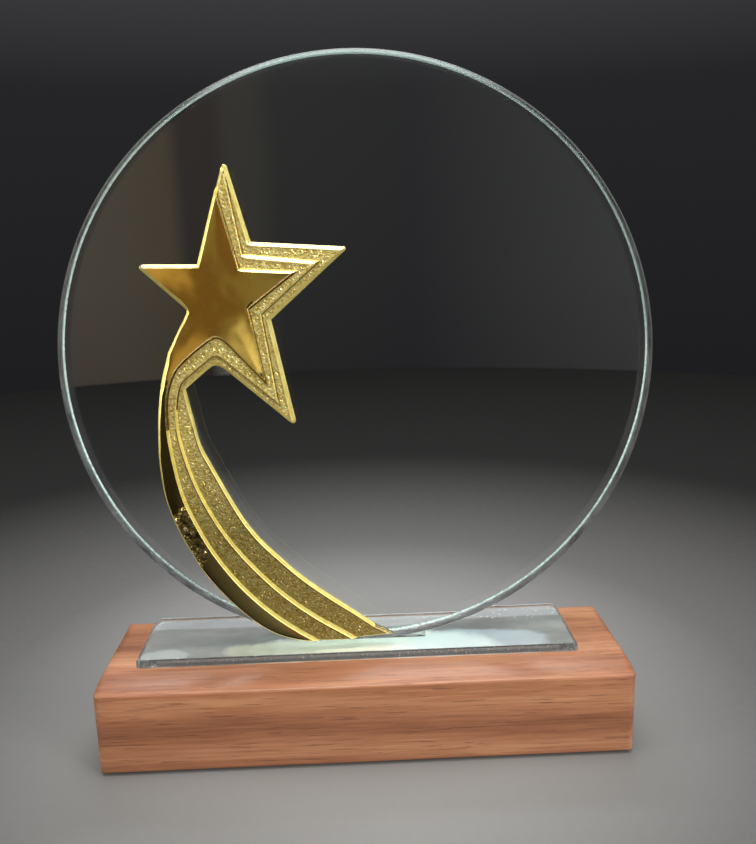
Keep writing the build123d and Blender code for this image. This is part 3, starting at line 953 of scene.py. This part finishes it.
def build_star():
    outer, q2, q3 = star_loops()
    outer, q2, q3 = divide(outer, 1.4), divide(q2, 1.4), divide(q3, 1.4)
    w_o = rim_width(outer)
    nz2, nz3 = outward(q2)[:, 1], outward(q3)[:, 1]
    w_2 = np.where(nz2 > 0, 0.72 + 0.70 * nz2 ** 4, 0.72 - 0.15 * np.abs(nz2))
    w_3 = np.where(nz3 > 0, 0.78 + 0.34 * nz3 ** 3, 0.80 + 0.42 * np.abs(nz3))
    pts, edges = [], []

    def add_loop(loop):
        s = len(pts)
        n = len(loop)
        pts.extend(tuple(p) for p in loop)
        edges.extend((s + i, s + (i + 1) % n) for i in range(n))

    def ring(loop, w, f):
        return offset_loop(loop, (w * f)[:, None], 5.0) if f else loop

    for f in F_OUT:
        add_loop(ring(outer, w_o, f))
    add_loop(offset_loop(outer, (w_o + MARGIN)[:, None], 5.0))
    for q, w in ((q2, w_2), (q3, w_3)):
        for f in F_STEP:
            add_loop(ring(q, w, f))
    add_loop(offset_loop(q2, (w_2 + MARGIN)[:, None], 5.0))
    # surface points: fine and jittered on the stippled steps, coarse on the polished level
    pitch = 0.50
    gx, gz = np.meshgrid(np.arange(-70, 10, pitch), np.arange(-98, 66, pitch * 0.87))
    gx = gx + (np.arange(gx.shape[0]) % 2)[:, None] * pitch * 0.5
    grid = np.stack([gx.ravel(), gz.ravel()], 1)
    grid += rng.uniform(-0.16, 0.16, grid.shape)
    grid = grid[inside_many(grid, outer)]
    so, wo, _ = nearest(grid, outer, w_o)
    s2, w2, _ = nearest(grid, q2, w_2)
    s3, w3, _ = nearest(grid, q3, w_3)
    fine = (so > wo + MARGIN + 0.12) & (s3 < -0.14) & ((s2 < -0.12) | (s2 > w2 + MARGIN + 0.12))
    fine_pts = grid[fine]
    cgx, cgz = np.meshgrid(np.arange(-70, 10, 0.9), np.arange(-98, 66, 0.9))
    coarse = np.stack([cgx.ravel(), cgz.ravel()], 1)
    coarse = coarse[inside_many(coarse, outer)]
    so, wo, _ = nearest(coarse, outer, w_o)
    s3, w3, _ = nearest(coarse, q3, w_3)
    coarse = coarse[(so > wo + 0.3) & (s3 > w3 + 0.3)]
    first_fine = len(pts)
    allp = [Vector(p) for p in pts] + [Vector(p) for p in fine_pts] + [Vector(p) for p in coarse]
    vs, es, fs, ov, oe, of = delaunay_2d_cdt(allp, edges, [], 0, 1e-5)
    V = np.array([(v.x, v.y) for v in vs])
    F = [tuple(f) for f in fs]
    cen = np.array([V[list(f)].mean(0) for f in F])
    inside = inside_many(cen, outer)
    F = [f for f, k in zip(F, inside) if k]
    cen = cen[inside]
    so, wo, _ = nearest(V, outer, w_o)
    s2, w2, _ = nearest(V, q2, w_2)
    s3, w3, _ = nearest(V, q3, w_3)
    L = LEVELS[0] + (LEVELS[1] - LEVELS[0]) * np.interp(s2 / w2, F_STEP, H_STEP) + (LEVELS[2] - LEVELS[1]) * np.interp(s3 / w3, F_STEP, H_STEP)
    # the polished level waves a little; on the tail it is a shallow trough
    d3 = np.clip(np.minimum(s3 - w3, so - wo), 0, None)
    wave = np.array([noise.noise(Vector((p[0] * 0.11, p[1] * 0.11, 3.0))) + 0.35 * noise.noise(Vector((p[0] * 0.3, p[1] * 0.3, 7.0))) for p in V])
    trough = np.clip((-2.0 - V[:, 1]) / 14.0, 0, 1)
    L = L - np.where(s3 > w3, 1.0, 0.0) * ((0.05 + 0.022 * wave) * (1 - np.exp(-d3 / 2.5)) + trough * 0.26 * (1 - np.exp(-d3 / 1.3)))
    # outer wall: upright at first, then a bevel up to the level
    rise = np.minimum(np.where(L > 4.4, 0.80, 1.15) * wo, 0.62 * L)
    x = np.clip(so / wo, 0, 1)
    up = (L - rise) * np.clip(x / F_OUT[1], 0, 1)
    top = rise * np.interp(x, F_OUT[1:], (0.0, 0.42, 0.80, 1.0))
    H = np.where(x < F_OUT[1], up, L - rise + top)
    isfine = np.zeros(len(V), bool)
    last = first_fine + len(fine_pts)
    for i, src in enumerate(ov):
        if any(first_fine <= k < last for k in src):
            isfine[i] = True
    jit = rng.uniform(-1, 1, len(V))
    lump = np.array([noise.noise(Vector((p[0] * 0.8, p[1] * 0.8, 2.0))) for p in V])
    near = np.minimum(np.minimum(so - wo, np.where(s2 > 0, s2 - w2, -s2)), np.where(s3 > 0, s3 - w3, -s3))
    H = H + isfine * np.clip((near - 0.05) / 0.8, 0.25, 1) * (jit * 0.105 + lump * 0.05 - 0.08)
    y_back = b_star[1][1]
    verts = [(p[0] * MM, y_back - h * MM, p[1] * MM + DISC_Z) for p, h in zip(V, H)]
    so_c, wo_c, up_o = nearest(cen, outer, w_o)
    s2_c, w2_c, up_2 = nearest(cen, q2, w_2)
    s3_c, w3_c, up_3 = nearest(cen, q3, w_3)
    fm = np.where(s3_c > w3_c, 0, 1)
    # on the star the walls that face down or sideways get a dark foot of painted shade; on the tail every wall is a
    # bright ridge with a dark line of painted shade along its upper side
    tail = (cen[:, 1] < -33.0) | ((cen[:, 0] < -50.0) & (cen[:, 1] < -19.0))
    tail2 = tail | ((cen[:, 0] < -52.0) & (cen[:, 1] < -12.0))
    on3, on2, rim = (s3_c > 0) & (s3_c < w3_c), (s2_c > 0) & (s2_c < w2_c), so_c < wo_c
    low3, low2 = up_3 < 0.36, up_2 < 0.36
    fm = np.where((fm == 1) & tail & (s2_c > w2_c) & (s2_c < w2_c + MARGIN), 4, fm)
    fm = np.where((fm == 1) & tail & (up_o > 0) & (so_c < wo_c + MARGIN), 4, fm)
    fm = np.where(on2, np.where(tail2, 5, np.where(low2, np.where(s2_c < 0.42 * w2_c, 4, 1), 2)), fm)
    fm = np.where(on3, np.where(tail, 5, np.where(low3, np.where(s3_c < 0.60 * w3_c, 4, 2), 2)), fm)
    fm = np.where(rim, np.where(up_o > 0.85, 2, 5), fm)
    used = sorted({i for f in F for i in f})
    remap = {o: n for n, o in enumerate(used)}
    verts = [verts[i] for i in used]
    faces = [tuple(remap[i] for i in f) for f in F]
    fm = list(fm)
    # flat cast back, same plan, reached by the outline alone
    edge_use = {}
    for f in faces:
        for a, b in zip(f, f[1:] + f[:1]):
            edge_use.setdefault((min(a, b), max(a, b)), []).append((a, b))
    chain = longest_chain([u[0] for u in edge_use.values() if len(u) == 1])
    back = delaunay_2d_cdt([Vector((verts[i][0] / MM, verts[i][2] / MM)) for i in chain], [(i, (i + 1) % len(chain)) for i in range(len(chain))], [], 1, 1e-6)
    if len(back[0]) == len(chain):
        for f in back[2]:
            faces.append(tuple(chain[back[3][i][0]] for i in f))
            fm.append(3)
    ob = mesh_object("star_and_tail", verts, faces, [M_GOLD, M_STIP, M_EDGE, M_BACK, M_PAINTED_SHADE, M_RIDGE], fm, smooth=True)
    bm = bmesh.new()
    bm.from_mesh(ob.data)
    bmesh.ops.recalc_face_normals(bm, faces=bm.faces)
    open_edges = sum(1 for e in bm.edges if len(e.link_faces) != 2)
    bm.to_mesh(ob.data)
    bm.free()
    print("casting: vertices", len(verts), "faces", len(faces), "open edges", open_edges)
    me = ob.data
    me.polygons.foreach_set("use_smooth", np.array([p.material_index != 1 for p in me.polygons]))
    sharpen(ob, 34, 2)
    return keep(ob, "star_ornament", slot="gold")


build_star()


# --------------------------------------------------------------------------- tapes
def build_tape(node_name, name, seed):
    """Tape cut by hand: the CAD outline, a little thinner so that it never lies in the glass face."""
    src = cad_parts[node_name].data
    lo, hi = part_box(node_name)
    front = [v.index for v in src.vertices if abs(v.co.y - lo[1]) < 1e-6]
    keep_set = set(front)
    loops = {}
    for p in src.polygons:
        if all(i in keep_set for i in p.vertices):
            vs = list(p.vertices)
            for a, b in zip(vs, vs[1:] + vs[:1]):
                loops.setdefault((min(a, b), max(a, b)), []).append((a, b))
    # nodes can hold split vertices, so the chain is followed by place
    key = lambda i: (round(src.vertices[i].co.x, 6), round(src.vertices[i].co.z, 6))
    cnt = {}
    for lst in loops.values():
        for a, b in lst:
            k = tuple(sorted((key(a), key(b))))
            cnt.setdefault(k, []).append((key(a), key(b)))
    chain = longest_chain([v[0] for v in cnt.values() if len(v) == 1])
    loop = np.asarray(chain)
    if area2(loop) < 0:
        loop = loop[::-1]
    dense = []
    for i in range(len(loop)):
        a, c = loop[i], loop[(i + 1) % len(loop)]
        k = max(1, int(np.linalg.norm(c - a) / 0.0015))
        for t in range(k):
            dense.append(a + (c - a) * t / k)
    dense = np.asarray(dense)
    inset = np.array([0.10 * MM + 0.16 * MM * (0.5 + 0.5 * noise.noise(Vector((p[0] * 300 + seed, p[1] * 300, 0.0)))) for p in dense])
    moved = offset_loop(dense, 1.0) - dense
    dense2 = dense + moved * inset[:, None]
    n = len(dense2)
    yf, yb = lo[1] + 0.03 * MM, hi[1] - 0.03 * MM
    verts = [(p[0], yf, p[1]) for p in dense2] + [(p[0], yb, p[1]) for p in dense2]
    faces = [(i, (i + 1) % n, n + (i + 1) % n, n + i) for i in range(n)]
    tri = delaunay_2d_cdt([Vector(p) for p in dense2], [(i, (i + 1) % n) for i in range(n)], [], 1, 1e-9)
    for f in tri[2]:
        ids = [tri[3][i][0] for i in f]
        faces.append(tuple(ids))
        faces.append(tuple(n + i for i in ids)[::-1])
    ob = mesh_object(name, verts, faces, [M_TAPE], smooth=False)
    bm = bmesh.new()
    bm.from_mesh(ob.data)
    bmesh.ops.recalc_face_normals(bm, faces=bm.faces)
    bm.to_mesh(ob.data)
    bm.free()
    return keep(ob, node_name, slot="tape")


build_tape("star_tape_pad", "tape_behind_star", 1.0)
build_tape("tail_tape_pad", "tape_behind_tail", 5.0)

for pad in ("foot_pad_front_left", "foot_pad_front_right", "foot_pad_back_left", "foot_pad_back_right"):
    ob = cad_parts[pad]
    if not ob.data.materials:
        ob.data.materials.append(M_RUBBER)
    for i in range(len(ob.material_slots)):
        ob.material_slots[i].link = "OBJECT"
        ob.material_slots[i].material = M_RUBBER


# --------------------------------------------------------------------------- stage
def build_stage():
    """Pale round table top with a painted pool of light: its colour falls off into the dim studio."""
    seg, rings = 96, [0.0, 0.08, 0.16, 0.24, 0.34, 0.46, 0.62, 0.85]
    verts, faces = [(0, 0, 0)], []
    for r in rings[1:]:
        for k in range(seg):
            a = 2 * math.pi * k / seg
            verts.append((r * math.cos(a), r * math.sin(a), 0.0))
    for k in range(seg):
        faces.append((0, 1 + k, 1 + (k + 1) % seg))
    for i in range(len(rings) - 2):
        a, b = 1 + i * seg, 1 + (i + 1) * seg
        for k in range(seg):
            k2 = (k + 1) % seg
            faces.append((a + k, b + k, b + k2, a + k2))
    m, nt, s, _ = new_material("studio_floor")
    tc = node(nt, "ShaderNodeTexCoord")
    ln = node(nt, "ShaderNodeVectorMath", operation="LENGTH")
    off = node(nt, "ShaderNodeVectorMath", operation="SUBTRACT")
    off.inputs[1].default_value = (0.0, 0.035, 0.0)
    nt.links.new(tc.outputs["Object"], off.inputs[0])
    nt.links.new(off.outputs["Vector"], ln.inputs[0])
    # painted light: the floor colour is a bright pool round the object that fades to near black
    col = ramp(nt, mapped(nt, ln.outputs["Value"], 0.0, 1.0, 0.08, 0.36), [(0.0, (0.27, 0.267, 0.265)), (0.28, (0.11, 0.109, 0.108)), (1.0, (0.0045, 0.0045, 0.0048))], "B_SPLINE")
    nt.links.new(col, s.inputs["Base Color"])
    grain = noise_tex(nt, coords(nt), 260.0, 4.0, 0.6)
    nt.links.new(mapped(nt, grain, 0.55, 0.70, 0.3, 0.7), s.inputs["Roughness"])
    nt.links.new(mapped(nt, ln.outputs["Value"], 0.22, 0.0, 0.10, 0.34), s.inputs["Specular IOR Level"])
    ob = mesh_object("floor", verts, faces, [m], smooth=True)


build_stage()

# the room: a dark backdrop behind the object and a softly lit room in front of it, by direction alone
world = bpy.data.worlds.new("studio")
scene.world = world
world.use_nodes = True
wt = world.node_tree
bg = next(n for n in wt.nodes if n.type == "BACKGROUND")
tc = node(wt, "ShaderNodeTexCoord")
sp = node(wt, "ShaderNodeSeparateXYZ")
wt.links.new(tc.outputs["Generated"], sp.inputs[0])
X, Y, Z = sp.outputs["X"], sp.outputs["Y"], sp.outputs["Z"]
backdrop = ramp(wt, mapped(wt, Z, 0.0, 1.0, -1.0, 1.0), [(0.40, (0.012, 0.012, 0.014)), (0.58, (0.019, 0.019, 0.021)), (0.80, (0.13, 0.13, 0.135)), (1.0, (0.34, 0.34, 0.35))])
room = ramp(wt, mapped(wt, X, 0.0, 1.0, -0.5, 0.5), [
    (0.00, (0.62, 0.56, 0.44)), (0.25, (0.56, 0.44, 0.26)), (0.302, (0.48, 0.36, 0.18)), (0.318, (0.165, 0.108, 0.052)),
    (0.354, (0.150, 0.100, 0.050)), (0.370, (0.235, 0.208, 0.125)), (0.398, (0.215, 0.198, 0.125)), (0.425, (0.100, 0.100, 0.070)), (0.58, (0.070, 0.070, 0.065)), (1.00, (0.50, 0.50, 0.47))], "LINEAR")
# lower down the room gets darker, but for a light patch a little right of the middle
low = mapped(wt, Z, 1.0, 0.42, -0.04, -0.34)
room = mix_color(wt, 1.0, room, low, "MULTIPLY")
px = math_node(wt, "DIVIDE", math_node(wt, "ADD", X, 0.129), 0.026)
pz = math_node(wt, "DIVIDE", math_node(wt, "ADD", Z, 0.152), 0.050)
r2 = math_node(wt, "ADD", math_node(wt, "MULTIPLY", px, px), math_node(wt, "MULTIPLY", pz, pz))
patch = mapped(wt, r2, 1.0, 0.0, 0.15, 1.6)
room = mix_color(wt, patch, room, (0.95, 0.92, 0.70))
high = mapped(wt, Z, 0.0, 1.0, 0.25, 0.75)
room = mix_color(wt, high, room, (0.80, 0.78, 0.74))
front = mapped(wt, Y, 0.0, 1.0, 0.10, -0.45)
wt.links.new(mix_color(wt, front, backdrop, room), bg.inputs["Color"])
bg.inputs["Strength"].default_value = 1.0


def softbox(name, loc, target, size, power, color=(1, 1, 1)):
    d = bpy.data.lights.new(name, "AREA")
    d.shape = "RECTANGLE"
    d.size, d.size_y = size
    d.energy = power
    d.color = color
    o = link(bpy.data.objects.new(name, d))
    o.location = loc
    v = Vector(target) - Vector(loc)
    o.rotation_euler = v.to_track_quat("-Z", "Y").to_euler()
    return o


softbox("overhead", (0.02, -0.04, 0.88), (0, 0, 0.05), (0.50, 0.52), 5.7, (1.0, 0.985, 0.96))
softbox("front_left", (-0.95, -0.26, 0.26), (0, 0, 0.12), (0.34, 0.5), 3.2, (1.0, 0.97, 0.93))
softbox("front_right", (0.72, -0.66, 0.34), (0, 0, 0.08), (0.34, 0.5), 5.6, (1.0, 0.98, 0.95))
softbox("rim_light", (0.0, 0.46, 0.56), (0, 0, 0.20), (0.55, 0.12), 1.5, (0.96, 0.985, 1.0))

# --------------------------------------------------------------------------- camera
yaw, pitch, roll, f_px = 0.03244, 0.22061, -0.0247, 830.17
cam_data = bpy.data.cameras.new("camera")
cam_data.sensor_fit = "VERTICAL"
cam_data.sensor_height = 36.0
cam_data.sensor_width = 36.0
cam_data.lens = f_px * 36.0 / 844.0
cam_data.clip_start = 0.01
cam = link(bpy.data.objects.new("camera", cam_data))
fwd = Vector((math.sin(yaw) * math.cos(pitch), math.cos(yaw) * math.cos(pitch), -math.sin(pitch)))
right = Vector((math.cos(yaw), -math.sin(yaw), 0))
up = right.cross(fwd)
r2 = right * math.cos(roll) + up * math.sin(roll)
u2 = -right * math.sin(roll) + up * math.cos(roll)
rot = Matrix((r2, u2, -fwd)).transposed().to_4x4()
cam.matrix_world = Matrix.Translation((-0.003064, -0.27913, 0.177908)) @ rot
scene.camera = cam
scene.view_settings.view_transform = "Standard"
scene.view_settings.look = "None"
